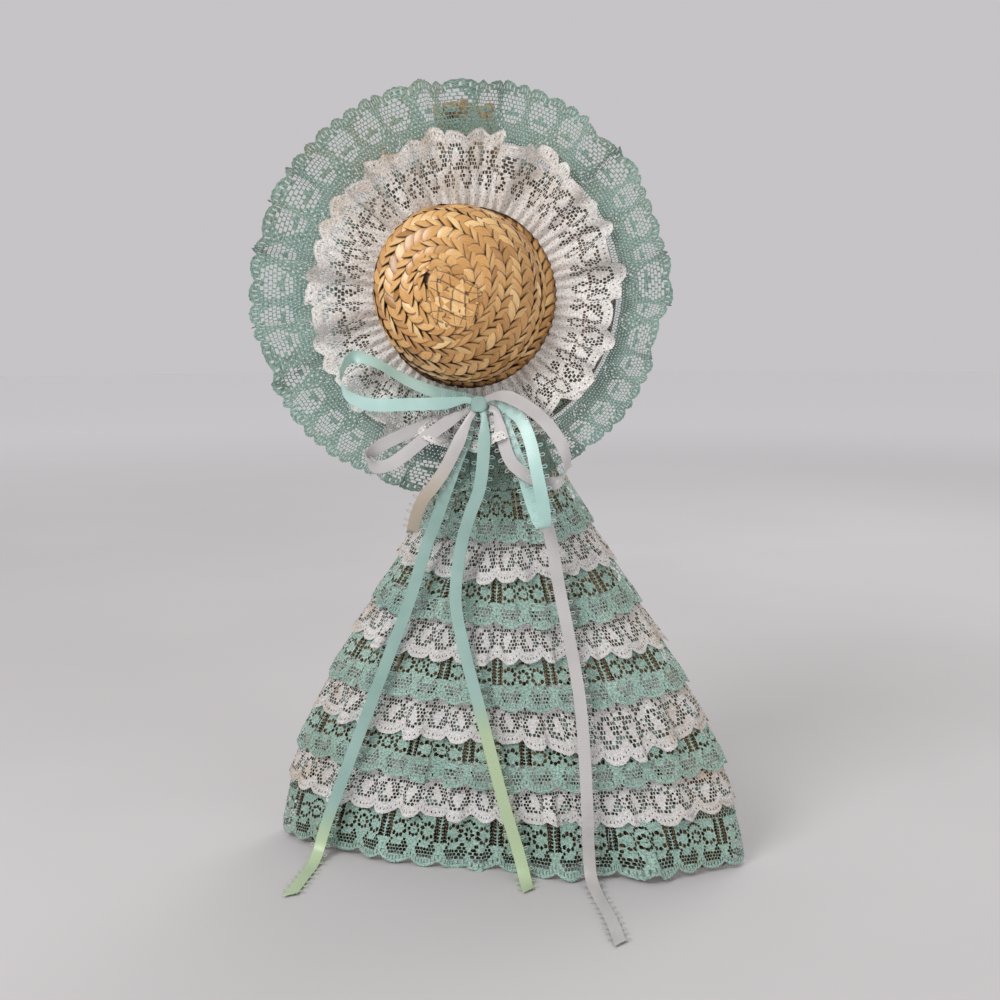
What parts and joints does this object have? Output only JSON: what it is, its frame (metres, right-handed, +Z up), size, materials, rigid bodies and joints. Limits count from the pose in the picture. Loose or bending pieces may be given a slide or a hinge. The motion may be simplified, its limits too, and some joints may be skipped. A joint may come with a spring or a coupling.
{
  "type": "broom doll",
  "caption": "Whisk broom dressed as a lady: a straw hat on the handle framed by gathered lace, a skirt of lace rows over the fan, and a ribbon bow. Stands on its straw.",
  "frame": {"origin": "on the floor, under the middle of the broom's fan, at the cut end of its middle straw", "axes": "+Z up, square to the floor, the hat faces -Y, +X to the doll's left hand (the viewer's right)"},
  "size_m": [0.2107, 0.0942, 0.3069],
  "materials": {
    "broomcorn": "dry broomcorn straw, matte, split and streaked along its length",
    "twine": "twisted cotton twine, matte",
    "braided_straw": "flat straw braid sewn in a spiral, satin, golden with darker seams",
    "mint_lace": "machine lace with net ground, scalloped edge, dull mint green",
    "white_lace": "machine lace with dense leaf motifs and a picot edge, aged white with tea-brown edges",
    "mint_satin": "narrow satin ribbon with picot loops, soft gloss, faded green at the tail ends",
    "white_satin": "narrow satin ribbon with picot loops, soft gloss, aged white",
    "glue": "set hot glue, smooth and slightly cloudy"
  },
  "bodies": {
    "root": {"bristles_left": "broomcorn", "bristles_centre": "broomcorn", "bristles_right": "broomcorn", "handle_stalks": "broomcorn", "neck_binding": "twine", "handle_binding": "twine", "sewing_twine": "twine", "straw_hat": "braided_straw", "hat_mint_ruffle": "mint_lace", "mint_row_1": "mint_lace", "mint_row_2": "mint_lace", "mint_row_3": "mint_lace", "mint_row_4": "mint_lace", "mint_row_5": "mint_lace", "hat_white_ruffle": "white_lace", "white_row_1": "white_lace", "white_row_2": "white_lace", "white_row_3": "white_lace", "white_row_4": "white_lace", "glue_upper": "glue", "glue_lower": "glue", "bow_glue": "glue", "bow_knot": "mint_satin", "mint_loop_left": "mint_satin", "mint_loop_right": "mint_satin", "mint_tail_left": "mint_satin", "mint_tail_centre": "mint_satin", "white_loop_left": "white_satin", "white_loop_right": "white_satin", "white_tail_left": "white_satin", "white_tail_right": "white_satin"}
  },
  "joints": []
}
